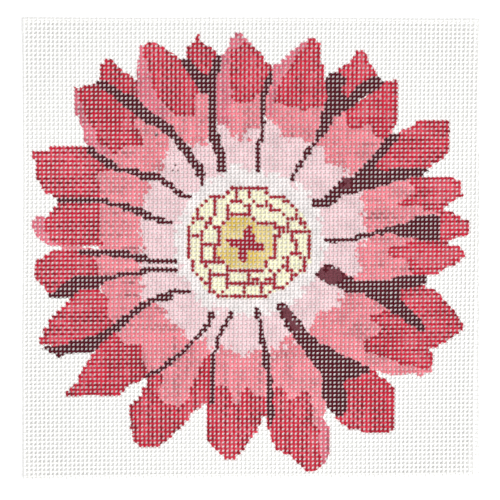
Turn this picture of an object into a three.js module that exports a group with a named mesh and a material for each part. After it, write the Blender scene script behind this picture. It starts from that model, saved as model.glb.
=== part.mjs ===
// A square of single-thread needlepoint canvas, lying flat with its painted side up.
// It is woven from two sets of sized cotton threads: the warp runs along Y, below, and the weft
// runs along X, above. White sealing paint glues the threads of a set together along the cut
// edges, so each set is one body, and every gap between two threads is open.
// Millimetres, +Z up, with the origin at the middle of the underside.
import * as THREE from "three";

// Driving dimensions
const INCH = 25.4;
const threadsPerInch = 13; // the canvas gauge
const holesAcross = 105; // gaps between warp threads, counted along X
const holesDown = 105; // gaps between weft threads, counted along Y
const threadWidth = 1.0; // across a thread, which the loom and the size press flat
const threadThickness = 0.46;
const easedEdge = 0.1; // chamfer along each long edge of a thread
const beatenWefts = 2; // weft threads beaten side by side, with no gap, at the top and bottom edge
const cutEnd = 0.4; // how far the cut warp ends stand past the last weft thread
const crossingGap = 0.03; // between the upper face of the warp and the weft that crosses it

const cottonWhite = 0xf4f2ee;
const paintedPink = 0xe58c9b;

// Sizes that follow from them
const pitch = INCH / threadsPerInch;
const openWidth = holesAcross * pitch - threadWidth; // from the first hole to the last, along X
const openHeight = holesDown * pitch - threadWidth; // the same, along Y
const canvasWidth = openWidth + 2 * threadWidth;
const canvasHeight = openHeight + 2 * (beatenWefts * threadWidth + cutEnd);

// A rectangle about (0, y), as a closed outline of the given class (Shape or Path).
function rectangle(Outline, y, width, height) {
  return new Outline([
    new THREE.Vector2(-width / 2, y - height / 2),
    new THREE.Vector2(width / 2, y - height / 2),
    new THREE.Vector2(width / 2, y + height / 2),
    new THREE.Vector2(-width / 2, y + height / 2),
  ]);
}

// One set of parallel threads, drawn along X: a sheet of the set's full length and breadth, with
// a slot of the open length for each gap between two threads, and the edges of each thread eased.
function threadSet(name, gaps, length, openLength, breadth, colour) {
  const outline = rectangle(THREE.Shape, 0, length, breadth);
  for (let gap = 0; gap < gaps; gap += 1) {
    const middle = (gap - (gaps - 1) / 2) * pitch;
    outline.holes.push(rectangle(THREE.Path, middle, openLength, pitch - threadWidth));
  }
  const geometry = new THREE.ExtrudeGeometry(outline, {
    depth: threadThickness - 2 * easedEdge,
    bevelThickness: easedEdge,
    bevelSize: easedEdge,
    bevelOffset: -easedEdge,
    bevelSegments: 1,
  });
  geometry.translate(0, 0, easedEdge);
  const material = new THREE.MeshStandardMaterial({ color: colour, roughness: 0.85, metalness: 0 });
  const threads = new THREE.Mesh(geometry, material);
  threads.name = name;
  return threads;
}

const warp = threadSet("warp_threads", holesAcross, canvasHeight, openHeight, canvasWidth, cottonWhite);
warp.rotation.z = Math.PI / 2;

const weft = threadSet("weft_threads", holesDown, canvasWidth, openWidth, canvasHeight, paintedPink);
weft.position.z = threadThickness + crossingGap;

const canvas = new THREE.Group();
canvas.add(warp, weft);

export default canvas;
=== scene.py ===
"""A square of painted needlepoint canvas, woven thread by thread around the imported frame.

The warp runs along Y and the weft along X. A large pink daisy is painted on the upper side.
Lengths inside the functions are millimetres; the meshes are written in metres.
"""
import math

import bpy
import numpy as np
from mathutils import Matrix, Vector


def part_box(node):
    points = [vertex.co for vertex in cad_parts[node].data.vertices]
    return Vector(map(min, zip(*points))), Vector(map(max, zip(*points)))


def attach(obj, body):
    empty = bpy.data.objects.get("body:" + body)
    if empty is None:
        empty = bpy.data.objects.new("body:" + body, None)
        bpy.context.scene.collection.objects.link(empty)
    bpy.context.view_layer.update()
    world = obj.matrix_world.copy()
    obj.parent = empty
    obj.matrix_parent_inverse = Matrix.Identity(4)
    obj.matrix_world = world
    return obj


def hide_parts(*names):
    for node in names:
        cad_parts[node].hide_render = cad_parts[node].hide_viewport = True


bl_info = {
    "name": "Painted needlepoint canvas",
    "version": (1, 0, 0),
    "blender": (4, 5, 0),
    "location": "3D View > Sidebar > Canvas",
    "description": "Weaves a square of mono canvas and paints a pink daisy on its threads",
    "category": "Object",
}

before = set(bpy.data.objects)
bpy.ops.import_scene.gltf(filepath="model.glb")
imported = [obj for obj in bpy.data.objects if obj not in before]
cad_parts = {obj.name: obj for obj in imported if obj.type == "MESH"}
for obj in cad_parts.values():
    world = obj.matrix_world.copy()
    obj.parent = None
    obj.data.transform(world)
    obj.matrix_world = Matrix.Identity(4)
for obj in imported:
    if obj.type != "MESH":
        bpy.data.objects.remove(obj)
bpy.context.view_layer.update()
WARP_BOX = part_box("warp_threads")
WEFT_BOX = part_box("weft_threads")
MM = 0.001  # one millimetre, in metres

# ---------------------------------------------------------------------------
# The painting, in millimetres from the middle of the canvas, +Y up
# ---------------------------------------------------------------------------

# Each petal's painted areas, from the left petal round anticlockwise: "pink" is the middle of the
# petal, "red" its outer part, and "edge" a rim that turns up and shows a dusty pink.
PETALS = (
    {"pink": (((-72, 44), (-60, 35), (-50, 33), (-46, 31), (-46.5, 26), (-49.5, 21), (-51, 17.5),
      (-58, 19.5), (-70, 22)),),
     "red": (((-100, 43.6), (-93.5, 44.4), (-91, 45.8), (-88, 46), (-75, 45.8), (-71, 44), (-61, 36),
      (-66.5, 35), (-70, 33), (-68.4, 28), (-68.3, 22), (-88.5, 22.2), (-90, 24.6), (-94.4, 25),
      (-95.2, 28.8), (-97.2, 31), (-98.2, 34), (-97.2, 40.2), (-100.2, 40.6)),)},
    {"pink": (((-70, 22), (-60, 20), (-51, 17), (-49.5, 10), (-51, 4), (-50, -3), (-60, -2), (-70, -1)),),
     "red": (((-93.8, 9), (-93.2, 13.5), (-91.5, 15.5), (-90, 18.5), (-88, 19.5), (-87, 21.5),
      (-68.5, 21), (-68, 16), (-69.5, 12), (-69.5, 5), (-67.5, 3), (-68, 1.2), (-86, 1), (-89, 2),
      (-91, 4), (-92.8, 7)),),
     "edge": (((-99.8, 10.5), (-98.7, 13.2), (-96, 14.6), (-93, 14), (-90, 12), (-86, 0), (-91.5, 0.8),
      (-94.7, 3.2), (-97.8, 6)),)},
    {"pink": (((-86, 1.2), (-86, -0.9), (-72, -1), (-70, -13.5), (-50, -10), (-50, -4), (-60, -1.5)),),
     "red": (((-89.5, -0.8), (-92.5, -2.6), (-95, -4), (-98.2, -6.4), (-99, -10), (-98.4, -13.8),
      (-96, -15.2), (-93, -19.2), (-91.5, -21.8), (-82, -22), (-70, -14), (-69.5, -8), (-71.5, -4),
      (-71.5, 0), (-80, -1)),)},
    {"pink": (((-68, -14), (-50, -10.5), (-49.5, -24), (-52, -27), (-64, -37), (-66, -25), (-68, -20)),),
     "red": (((-82, -22), (-88, -29), (-91.2, -32.3), (-92.2, -35), (-94.8, -36.8), (-94.2, -40.3),
      (-96.8, -40.8), (-96.4, -44), (-85, -45), (-72, -41), (-67, -39), (-62.5, -36.5), (-62, -34),
      (-64.5, -31), (-65, -27), (-64, -23), (-67, -21), (-69.5, -18.5), (-75, -18), (-80, -20)),)},
    {"pink": (((-66, -38), (-52, -28), (-46, -24), (-42, -26), (-36, -34.5), (-29.5, -36.5),
      (-27.5, -41), (-34, -47.5), (-42, -56), (-50, -58), (-62, -45)),),
     "red": (((-71, -46), (-73.2, -50), (-76.8, -54), (-78.2, -58), (-79.2, -60.4), (-81.4, -61.8),
      (-82.4, -64), (-85.2, -65), (-84.6, -66.4), (-60, -66.4), (-57.6, -65), (-56.6, -62.7),
      (-53, -61.2), (-49, -59.4), (-45, -57.4), (-46.5, -56), (-48.5, -54), (-49.5, -50), (-49.5, -44),
      (-56, -43.5), (-59, -42), (-61, -38.5), (-66, -39)),)},
    {"pink": (((-46, -57), (-34, -48.5), (-27, -42), (-20.5, -41.5), (-18.5, -46), (-18.5, -52),
      (-22, -70), (-34, -74), (-43, -70)),),
     "red": (((-46.7, -57), (-47.7, -61.5), (-49.7, -64.3), (-50.2, -66.3), (-53.2, -69), (-55.2, -71.5),
      (-54.8, -76), (-54.6, -84), (-53.4, -87.4), (-51, -89.6), (-44.5, -89.6), (-41, -89.2),
      (-36.6, -85), (-31, -79.6), (-27, -74.8), (-23.6, -72), (-20.5, -70.7), (-18.5, -70), (-19, -48),
      (-20.5, -48.5), (-23, -53), (-25.5, -58.5), (-27.5, -63), (-29.5, -68.5), (-33, -71.5), (-38, -71),
      (-42, -68.5), (-41, -62), (-40.5, -57), (-42, -55.5)),)},
    {"pink": (((-18, -66), (-18, -48), (-15, -44.5), (-10, -44.5), (-8, -47), (-3, -48.5), (1, -46),
      (5, -45.5), (8, -52), (9, -70), (0, -73), (-12, -73)),),
     "red": (((-20.2, -70), (-20.4, -87), (-17.2, -89.7), (-14.7, -92.7), (-12, -95.6), (-8.2, -95.2),
      (-5.6, -93), (-2.8, -89.6), (0.4, -85.7), (2.6, -82), (4.7, -77.2), (7.2, -74), (8, -70),
      (6.5, -67), (2, -66), (0.6, -67.5), (0, -64), (-3, -63), (-4.6, -65), (-5, -70.5), (-9.5, -70.5),
      (-10, -62), (-16, -62), (-18, -65)),)},
    {"pink": (((8, -70), (8.5, -47), (10, -45.5), (15, -45.5), (15.5, -38), (18, -37.5), (22, -43),
      (28, -50), (33, -58), (33, -70), (32, -82), (27, -82), (15, -73)),),
     "edge": (((29, -81), (29, -97), (31.6, -98.8), (34.2, -95.4), (35.2, -90), (35.6, -85), (34.7, -80),
      (32.5, -77.3), (30, -76)),),
     "red": (((7, -72), (7.2, -80), (8.5, -84), (9.7, -88.7), (11.4, -91.7), (15, -92.7), (17, -94.2),
      (20.6, -96), (22.6, -99.2), (25, -101.2), (28.5, -100.8), (31, -99.7), (30.6, -93), (30.5, -81),
      (27, -78.5), (27, -70), (26, -65), (22, -64), (21, -67.5), (16.5, -68), (15, -63.3), (10, -63.6),
      (9, -68)),)},
    {"red": (((54.5, -54.3), (56.2, -56.7), (59.2, -58.6), (62.2, -60), (63.7, -62.6), (64.4, -65.2),
      (64.2, -80), (63.4, -82.8), (61, -83.8), (52, -83.6), (47, -82.4), (41, -80.2), (38, -77.3),
      (36.5, -75), (40, -70), (37, -62), (36, -57), (44, -55)),)},
    {"pink": (((28.5, -27.6), (40.2, -27.4), (40.6, -19.5), (46, -18), (54, -19), (64, -28), (60, -38),
      (54, -42), (54, -56), (40, -51), (24, -36.5), (28.5, -35.6)),
      ((46, -46), (46, -51), (53, -54.6), (58, -56.2), (62, -57.6), (77, -57.6), (81.7, -55.6),
      (80, -50), (60, -46))),
     "red": (((66, -17), (78, -17), (82.2, -18.4), (84.7, -20.4), (86.7, -23.4), (90.7, -26.7),
      (92, -29), (94.2, -31.6), (95.2, -35.6), (94.8, -37.4), (90.6, -40.4), (84.4, -44.6), (80.6, -45),
      (81.8, -48.5), (81.8, -53), (79.5, -54.4), (76, -54), (70, -53), (64, -51.5), (60, -49),
      (52, -47.6), (50, -45), (50.6, -41.4), (57, -38.8), (58.5, -36), (57, -34), (53.6, -32.5),
      (54, -30.2), (58, -29.2), (60, -27.8), (66, -30)),)},
    {"pink": (((52.5, 8), (52.5, 3), (48, 1), (48, -5), (50, -7), (49.5, -11), (43, -12.6), (45, -15),
      (56, -17), (74, -16), (80, -6), (74, 0), (80, 8)),),
     "red": (((61, -1), (64, 1.5), (69, 1.5), (70, 4), (80, 4.2), (88.5, 3.6), (88.7, 1.4), (92, 1.3),
      (95.4, -0.5), (96.2, -3.9), (93.8, -6.1), (90.5, -7.9), (86, -10.2), (82.5, -12.4), (76, -13),
      (71.5, -11), (70.5, -8), (70, -4.6), (64, -5), (61, -3)),
      ((82, 16), (87, 17), (90.2, 17.2), (92.7, 15), (96, 13.4), (98.8, 11.7), (99, 8.4), (96.6, 5.2),
      (92, 4.6), (88, 3.6), (84, 3.4), (80, 8)))},
    {"pink": (((50, 26), (50, 18.5), (50.4, 17.5), (50.4, 7), (60, 9), (70, 11.5), (76, 15), (84, 15.3),
      (86.7, 17.3), (88.2, 19.5), (76, 33), (60, 31)),),
     "red": (((71, 31.2), (76, 32.6), (90.7, 32.6), (92.7, 30.8), (94.7, 29.8), (94.2, 27), (95.8, 24.2),
      (93.7, 22.2), (89.8, 21.4), (89.2, 19.2), (86.7, 17.2), (85, 16), (76, 16.6), (78, 19), (73, 19.6),
      (68, 17.6), (66, 20.5), (71, 23), (74, 26), (72.5, 29)),)},
    {"red": (((66.5, 52), (69, 54.4), (73.6, 55.4), (74.8, 57.4), (89, 57.6), (89.8, 53), (90, 47),
      (88.6, 43.3), (85.7, 40), (81.7, 37.4), (79.5, 35.4), (58, 34.5), (56, 38), (60, 44)),)},
    {"pink": (((28, 49), (32.5, 45), (32.5, 39.5), (36, 38), (40, 38.5), (42, 36.5), (42.5, 33),
      (46, 32.6), (52, 38), (58, 44), (65, 53), (58, 58), (43, 64), (35, 62)),),
     "red": (((41.5, 61.5), (46, 65), (52, 69), (58, 74.6), (62, 76), (65.6, 76.4), (66.8, 74),
      (65.8, 69), (66.2, 62.5), (65.2, 58), (64.6, 53.8), (62.8, 53.2), (61, 50), (57.5, 48.8),
      (55.5, 50.5), (54, 53.6), (54.6, 56), (51, 56), (47.5, 53.4), (44, 54), (42.6, 57)),)},
    {"red": (((37, 79.8), (40.4, 82.2), (44.9, 84.6), (46.2, 87.7), (47.9, 90), (50.6, 90.2), (52, 87.4),
      (53.2, 84.4), (55.4, 80.4), (57.6, 77.4), (57, 75.5), (52, 75), (46, 69), (42, 67), (39.5, 73),
      (40.5, 78)),)},
    {"pink": (((7.6, 77), (6, 70), (6.2, 58), (9.5, 58.5), (12, 56.5), (13.6, 53), (15, 48.6),
      (29, 47.9), (32, 57), (35, 67), (24, 68), (18, 78), (21, 87), (14, 84)),),
     "edge": (((8.5, 80.5), (10.4, 82.8), (13.4, 83.8), (15.4, 86.8), (18.9, 89.4), (22.4, 92.8),
      (26, 95), (27, 91), (20, 87), (15, 80), (12.5, 74), (10.5, 66), (9.6, 61), (8, 60), (6.6, 68),
      (9.8, 76)),),
     "red": (((26.5, 96), (28.8, 94.8), (31, 92), (31.4, 88), (31.4, 84), (33, 81), (33.8, 75), (34, 65),
      (30, 64), (26.5, 63.5), (24, 61.4), (20, 64.4), (10, 65), (10.4, 70), (12.6, 73.5), (14.6, 78),
      (16.6, 81.5), (18.6, 85), (21.6, 88.6), (25, 91)),)},
    {"pink": (((-15, 68), (-15, 57), (-11, 54.5), (-8, 51), (-6, 48.5), (-4.5, 48), (-2, 51), (1, 53),
      (4.4, 55.5), (5.6, 66), (5.6, 73), (0, 72)),),
     "edge": (((-15.4, 86), (-13.2, 87.6), (-10.6, 91.2), (-8.8, 95.6), (-6.6, 97.4), (-4, 97.2),
      (-2.6, 94.4), (0, 92), (-2, 90), (-8, 88), (-8.8, 66), (-10, 55), (-15.6, 56), (-15.8, 74)),),
     "red": (((-9.6, 90), (-6.4, 90.4), (-4.4, 93), (-2, 93), (0.6, 91), (2.2, 89.4), (4.4, 88.2),
      (5.4, 85), (8, 83.6), (9.4, 80.6), (8.6, 78), (5, 70), (3.8, 67.5), (2.4, 69.5), (0.6, 67.6),
      (0.4, 65.4), (-6.6, 65.2), (-9.2, 68)),)},
    {"red": (((-30.2, 86), (-29.8, 90), (-28, 92.2), (-26.2, 92.6), (-25.7, 94.6), (-24.4, 97.2),
      (-23.4, 94.6), (-21.8, 93), (-17, 89.4), (-14.5, 87.5), (-16, 76), (-19, 76), (-24, 78)),)},
    {"pink": (((-28, 72), (-19, 72), (-19, 49), (-24, 47), (-31, 46.5), (-38, 52), (-50, 60), (-45, 72),
      (-34, 62)),),
     "edge": (((-48, 92), (-51.2, 92.6), (-51.4, 88), (-52.2, 84), (-52.2, 76), (-52.2, 66), (-48, 60),
      (-42, 57), (-37, 61), (-42, 68), (-44, 74), (-44, 79), (-46.8, 84)),),
     "red": (((-49.5, 91.7), (-47.7, 92.8), (-44, 93.2), (-41, 91.4), (-38.4, 89.4), (-34.4, 87.4),
      (-31, 85), (-28, 82), (-24, 77), (-24.6, 70), (-25.8, 66), (-26, 60), (-34, 59.6), (-37.5, 62),
      (-40.5, 66), (-43.6, 69), (-45.4, 74), (-45.4, 79), (-48, 84.5), (-49.2, 88)),)},
    {"red": (((-69.4, 76), (-69.2, 80.6), (-67.5, 83.8), (-64.8, 86), (-62.5, 85.2), (-60.4, 82.1),
      (-57.4, 79.7), (-54.5, 77.7), (-53.6, 75), (-52, 75), (-52, 64), (-60, 68)),)},
    {"pink": (((-72, 47), (-70, 41), (-60, 34), (-50, 33), (-44, 34), (-40.5, 37), (-38.5, 42),
      (-37, 46), (-38, 54), (-48, 60), (-56, 60), (-60, 47)),),
     "edge": (((-80, 72.2), (-80.6, 66), (-80, 61), (-78.2, 57.4), (-76.6, 53), (-75.8, 48.5),
      (-73, 44.5), (-66, 41.6), (-62, 42), (-62, 46), (-66, 49), (-69, 54), (-73, 60), (-75, 66),
      (-76, 71)),),
     "red": (((-80.6, 72.6), (-76, 73.2), (-70, 74.8), (-64, 71), (-56, 66), (-50, 61), (-53.5, 57),
      (-52.5, 54), (-50.5, 51.5), (-49.2, 50.5), (-49.2, 46), (-60, 45.2), (-60.5, 43), (-63, 42.4),
      (-66, 45.5), (-69.6, 47.5), (-70.4, 52), (-73.6, 57.5), (-76, 61), (-77, 66), (-79, 70)),)},
)

# The pale inner part of the flower, out to where each petal turns pink
PALE_HEART = (
    (-50, 34), (-42, 50), (-36, 50), (-24, 48), (-19, 56), (-13, 57), (-10, 55), (-5, 51), (4, 56), (10, 61),
    (15, 52), (29, 50), (33, 44), (44, 35), (53, 27), (53, 9), (50, 5), (50, -6), (51, -12), (42, -14),
    (42, -20), (41, -28), (29.5, -28.5), (29, -37), (25, -41), (17, -45), (10, -46.5), (7, -53), (-4, -51),
    (-10, -48), (-17, -50), (-22, -42.5), (-27, -43), (-31, -37.5), (-36, -36), (-40, -30), (-48, -26.5),
    (-51, -24), (-51, -10), (-52, -8), (-51.5, 4), (-50, 12), (-51, 22),
)

# The dark strokes that part the petals
PLUM_STROKES = (
    ((-75, 45.8), (-71.5, 45.4), (-69.5, 43), (-64, 39.8), (-60, 36.6), (-52.4, 36.2), (-50, 34.6),
     (-44.5, 34.2), (-40, 32.6), (-38, 30.6), (-34.4, 27.6), (-31, 25.4), (-26.6, 24), (-26.8, 22.2),
     (-31, 22.4), (-34.6, 24), (-38.6, 27.4), (-41.4, 30), (-50, 31), (-53, 33.2), (-60, 34), (-67, 37.4),
     (-72.6, 41.8), (-75, 44)),
    ((-88, 22.8), (-66, 22.8), (-63.6, 21.2), (-59.6, 21), (-55.6, 20), (-50.6, 18), (-46, 16.4),
     (-42, 14.2), (-36.2, 12.4), (-36.4, 10.8), (-41, 10.4), (-44.4, 12.2), (-47.6, 12.4), (-50.6, 14.4),
     (-55, 16.4), (-60, 17.9), (-65, 19.8), (-88, 20.3)),
    ((-79, -1.2), (-72, -0.8), (-55, -0.9), (-54, -3), (-50, -2.8), (-47.4, -3.4), (-45.4, -5),
     (-34, -5.4), (-34, -7.2), (-45, -7.2), (-48, -6), (-52.6, -5.9), (-55, -4.2), (-60, -3.9), (-79, -3.4)),
    ((-92, -21.4), (-88.6, -19.4), (-86.4, -16.8), (-83, -14.4), (-79, -12.6), (-70, -12.4), (-65, -13),
     (-59, -11), (-52, -10.1), (-49, -8.8), (-44, -8.6), (-33, -9.4), (-33, -10.7), (-46, -11),
     (-50, -12.1), (-58, -13), (-63, -14.4), (-66.6, -15.6), (-69, -18), (-78.6, -19.4), (-80.4, -22),
     (-85, -23.2), (-90.4, -22.8)),
    ((-95, -45), (-91, -47.8), (-88, -48.8), (-74, -47.6), (-70.6, -46.2), (-69, -43.4), (-64, -39.6),
     (-60.6, -37.4), (-54, -31.8), (-49.6, -28.2), (-47, -26), (-41, -23.6), (-36, -23.2), (-35, -21.2),
     (-27, -20.8), (-27, -18.8), (-34.6, -18), (-38, -19), (-46, -22.4), (-51, -24.8), (-55.6, -28.8),
     (-63, -34.8), (-66, -37), (-71, -39.2), (-76, -41), (-82, -42), (-85, -44)),
    ((-48.6, -59.2), (-48, -57), (-42.6, -54), (-38, -50.8), (-33, -46.6), (-27, -41.2), (-23.4, -36.4),
     (-21.2, -34.2), (-19.8, -31.6), (-19.6, -28.8), (-17.4, -28.8), (-17.4, -32.2), (-19.2, -35.4),
     (-21.4, -38.4), (-24.6, -41.6), (-30, -47), (-34, -50.2), (-39.4, -54.6), (-42, -56.6), (-45, -57.6)),
    ((-10, -28.6), (-8, -29.6), (-8.6, -31.4), (-10.4, -34), (-12, -36.6), (-13.2, -38.4), (-13.8, -41.6),
     (-15, -44), (-16, -47), (-16.6, -70), (-19.6, -70.4), (-19, -48), (-17.6, -46.6), (-17, -43),
     (-15.6, -40), (-15, -37.6), (-13.4, -35), (-11.6, -31.6)),
    ((1.6, -26.8), (3.8, -27), (4.4, -29.4), (3.8, -32.4), (5.6, -33), (6, -38), (5.8, -43), (7.8, -45.4),
     (8, -51), (8.6, -54.4), (9.4, -60), (9.6, -76), (9.4, -80), (8, -80.4), (7.2, -74.2), (6.6, -70),
     (7, -60), (6.4, -55.6), (5.2, -53), (4.6, -48), (4.4, -45.4), (3.2, -42), (3, -34), (1.2, -31.6)),
    ((11, -25.6), (14, -24.2), (16.6, -26.6), (18.6, -29.4), (21, -31.8), (23.6, -35.4), (28, -40.4),
     (31.4, -43.6), (35.4, -45), (41, -48.6), (46, -50.4), (51, -52.8), (55, -55.4), (50, -57.4),
     (46, -58.8), (43, -58.4), (41.6, -60.4), (41.6, -63), (42.6, -66), (43, -69.4), (42.6, -73),
     (41, -76), (38, -76), (35.6, -73.6), (33, -70.6), (32, -66), (32.6, -60), (31.8, -57.4), (29, -54.4),
     (26.6, -50.4), (23, -45.4), (19.6, -41.6), (17.4, -38.2), (14.6, -34.4), (12.4, -30)),
    ((28, -12), (30.4, -9.2), (33.4, -7.6), (36.6, -7.8), (39, -9.8), (44, -13), (47, -14.4), (60, -14.6),
     (65, -13.2), (70, -12.6), (79.6, -12.8), (79.6, -15.6), (76, -17.2), (70, -17.6), (66.6, -19.6),
     (67.4, -23), (71, -27), (75, -31), (79.4, -37), (77, -38.2), (72.6, -35.6), (66, -30.4), (58, -25.4),
     (50.6, -20.8), (43, -20.4), (38.4, -17.4), (34, -16.2), (30.6, -14)),
    ((32.8, 4.9), (45, 4.8), (48.4, 6.8), (53, 7.2), (57, 8.2), (60.6, 9.6), (68, 11), (71.4, 12.2),
     (75.4, 14.8), (80, 15.6), (85, 15.2), (85.4, 9), (84.4, 3.4), (76, 3.8), (71, 4.8), (64, 6.4),
     (58, 6), (53, 5), (48, 3.4), (46, 2.4), (36, 2), (33.4, 2.2), (32.4, 3.4)),
    ((27, 22.6), (31, 22.6), (34.6, 25), (36.6, 27.6), (39, 30.4), (43, 32), (46, 33), (50, 36.6),
     (54, 41), (57.4, 46), (61, 50.4), (64, 52.4), (67.4, 51.8), (65.6, 48.4), (62, 44.6), (58, 40.6),
     (55.4, 37.6), (57.6, 35.6), (61, 35), (64, 36.8), (74, 36.8), (78.4, 36), (80.4, 35), (77, 32.8),
     (71, 31.2), (64, 29.8), (58, 27.8), (52, 25.8), (45, 24.8), (40.6, 24), (38.4, 20.8), (34, 18.2),
     (27, 18.2)),
    ((17.4, 32.4), (18.6, 34), (19.6, 36.4), (21.6, 39.4), (23.6, 41.8), (24, 44.6), (26, 47),
     (28.2, 48.4), (29.4, 52), (30.4, 58), (32, 62), (33.8, 66), (33.8, 76), (34.6, 79.4), (37, 80),
     (41, 78.4), (43.4, 76.4), (41.2, 73), (40.6, 69.6), (43, 68.2), (46, 71.4), (50, 74.8), (54, 77.2),
     (57.4, 76.8), (60, 75), (56.6, 71.6), (50, 68), (45.6, 64.6), (41.6, 61.2), (37, 58.6), (35.6, 55.4),
     (33.4, 51.4), (30.4, 49.4), (29.4, 46.6), (26.6, 44), (26, 41.6), (23.4, 39), (21.6, 35.6),
     (20, 33.2), (19, 30.6), (17.8, 30)),
    ((7.6, 80.6), (10, 80.8), (10, 77), (8.4, 73.6), (6.8, 69.6), (6.2, 64), (6.2, 51.4), (5.6, 48.6),
     (4, 47.8), (3.6, 40), (3.4, 34.6), (1.6, 34.6), (1.8, 47), (3, 50), (4.2, 52.4), (4.2, 63), (4.6, 70),
     (6, 75)),
    ((-32.8, 85), (-29, 86.4), (-26, 82.6), (-23.6, 79.4), (-20, 78.2), (-18.6, 82), (-16.4, 86.6),
     (-14.2, 88), (-13.2, 86), (-13.6, 82), (-15.4, 78.6), (-15.6, 62), (-15.4, 54), (-14.2, 50.4),
     (-13.4, 46), (-12, 42.4), (-11, 38), (-10.8, 34.2), (-15.2, 34.2), (-15.8, 39), (-17.6, 45),
     (-19.8, 49), (-20.2, 56), (-20.2, 69.4), (-23, 70.2), (-25.6, 74.6), (-28.6, 78.6), (-32, 83)),
    ((-71.4, 75.8), (-67, 75.8), (-60, 71.4), (-54, 69), (-49.6, 65.6), (-46.6, 62), (-41, 59),
     (-36.4, 55.4), (-33.4, 51.6), (-29, 46), (-25.4, 41.6), (-24, 38.6), (-21.6, 37.8), (-20.8, 34),
     (-21.6, 28), (-23, 28), (-24.4, 31.6), (-27, 37.6), (-31.6, 42.6), (-36, 49), (-41.6, 54.2),
     (-47, 55.6), (-52, 59.6), (-58, 64.2), (-64, 69.4), (-70, 73.8)),
)
PLUM_SPECKS = ((-43.3, 51.5, 0.9), (-34.5, 37.5, 0.55), (-35.8, 35, 0.5), (-33.5, 35, 0.5))

# The disc at the heart of the flower, counted in threads from the middle of the canvas: a cream
# round with a golden patch, parted like cobbles
DISC_ROUND = (
    (-10, 12.4), (-6.5, 12.6), (-5.5, 14.2), (3, 14.4), (4, 12.6), (7.4, 12.2), (9, 10.6), (10.6, 9.2),
    (12.4, 6.4), (13.4, 4.2), (13.4, -2.2), (12.4, -5.2), (9.4, -7.2), (7.2, -9.4), (4.4, -10.4),
    (3.4, -11.4), (-7.4, -11.4), (-10.4, -10.4), (-13.2, -6.2), (-14.4, -3), (-15.2, -2), (-15.2, 5),
    (-13.4, 9.2), (-11.4, 11.2),
)
DISC_GOLD = (
    (-6, 6.4), (-5, 7.4), (-1, 7.4), (0.4, 6.4), (0.6, 5.4), (4.6, 5.3), (4.8, 2), (4.6, -1.5), (3.4, -2.4),
    (2.6, -4.4), (-5.4, -4.5), (-6.2, -3.3), (-7.4, -2.4), (-8.4, -1.5), (-8.4, 0), (-7.5, 1), (-7.5, 5.2),
)
# Lines between the cobbles, along the threads from corner to corner
DISC_LINES = (
    ((-3, 14), (3, 14)), ((3, 13), (3, 13)), ((4, 12), (7, 12)), ((7, 11), (8, 11)), ((9, 10), (9, 10)),
    ((10, 9), (10, 7)), ((11, 7), (11, 6), (12, 6)), ((12, 5), (12, 4)), ((9, 4), (12, 4)),
    ((13, 4), (13, -2)), ((12, -2), (12, -5)), ((11, -5), (11, -5)), ((10, -6), (10, -6)),
    ((9, -6), (9, -7)), ((8, -8), (8, -8)), ((5, -9), (7, -9)), ((4, -10), (4, -10)), ((-2, -11), (3, -11)),
    ((-7, -11), (-3, -11)), ((-9, -10), (-9, -10)), ((-8, -11), (-8, -11)), ((-10, -5), (-10, -10)),
    ((-11, -8), (-11, -8)), ((-12, -7), (-12, -7)), ((-13, -6), (-13, -6)), ((-14, -3), (-14, -5)),
    ((-15, 5), (-15, -2)), ((-14, 7), (-14, 6)), ((-13, 9), (-13, 7)), ((-12, 10), (-12, 10)),
    ((-11, 11), (-11, 11)), ((-10, 12), (-7, 12)), ((-6, 13), (-6, 13)), ((-5, 14), (-5, 14)),
    ((-4, 14), (-4, 11)), ((-5, 11), (-5, 11)), ((-3, 11), (-3, 11)), ((-2, 10), (-2, 10)),
    ((-1, 13), (-1, 12)), ((-1, 10), (-1, 8)), ((0, 11), (0, 11)), ((1, 10), (2, 10)), ((3, 11), (3, 10)),
    ((4, 10), (4, 9), (6, 9)), ((7, 8), (7, 8)), ((8, 7), (8, 4)), ((9, 7), (9, 7)), ((-6, 10), (-6, 7)),
    ((-5, 8), (-1, 8)), ((-9, 12), (-9, 8)), ((-7, 6), (-7, 6)), ((-10, 7), (-10, 6), (-11, 6), (-11, 5)),
    ((-12, 7), (-12, 7)), ((-9, 5), (-8, 5), (-8, 1)), ((-12, 4), (-12, -3)), ((-14, 3), (-13, 3)),
    ((-11, 1), (-8, 1)), ((-9, 1), (-9, -3)), ((-12, -3), (-7, -3)), ((-11, -4), (-11, -4)),
    ((-8, -2), (-8, -2)), ((-6, -4), (-6, -9)), ((-6, -5), (2, -5)), ((-9, -6), (-6, -6)),
    ((-1, -5), (-1, -8)), ((-6, -8), (-4, -8)), ((-3, -8), (0, -8)), ((2, -8), (3, -8)),
    ((0, -7), (1, -7), (1, -8)), ((-2, -8), (-2, -10)), ((2, -8), (2, -10)), ((3, -7), (4, -7), (4, -8)),
    ((5, -6), (5, -9)), ((4, -5), (4, -5)), ((6, -5), (6, -5)), ((7, -4), (7, -4)), ((8, -2), (8, -5)),
    ((9, -5), (9, -5)), ((7, -2), (7, -2)), ((11, -2), (11, -2)), ((10, 2), (10, -1)), ((9, -1), (11, -1)),
    ((9, 4), (9, 2)), ((1, 6), (5, 6), (5, 5), (7, 5), (7, 4)), ((6, 4), (6, 3)), ((0, 7), (0, 7)),
    ((5, 3), (5, -2)), ((4, -2), (5, -2)), ((3, -3), (3, -4)), ((-7, -10), (-7, -10)),
)
# The red marks on the golden patch: start, end and breadth, in threads
DISC_CROSS = (((-1, 4.6), (-1.5, 2), 1.9), ((-6, 2), (-4, 1.6), 1.0), ((-4.6, 1.5), (-1.5, 1.5), 1.9),
              ((-1, 0.9), (2.0, 0.3), 1.8), ((-2.5, 1), (-2.5, -2.0), 2.0), ((0, 3), (0, 1), 0.8))

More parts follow.
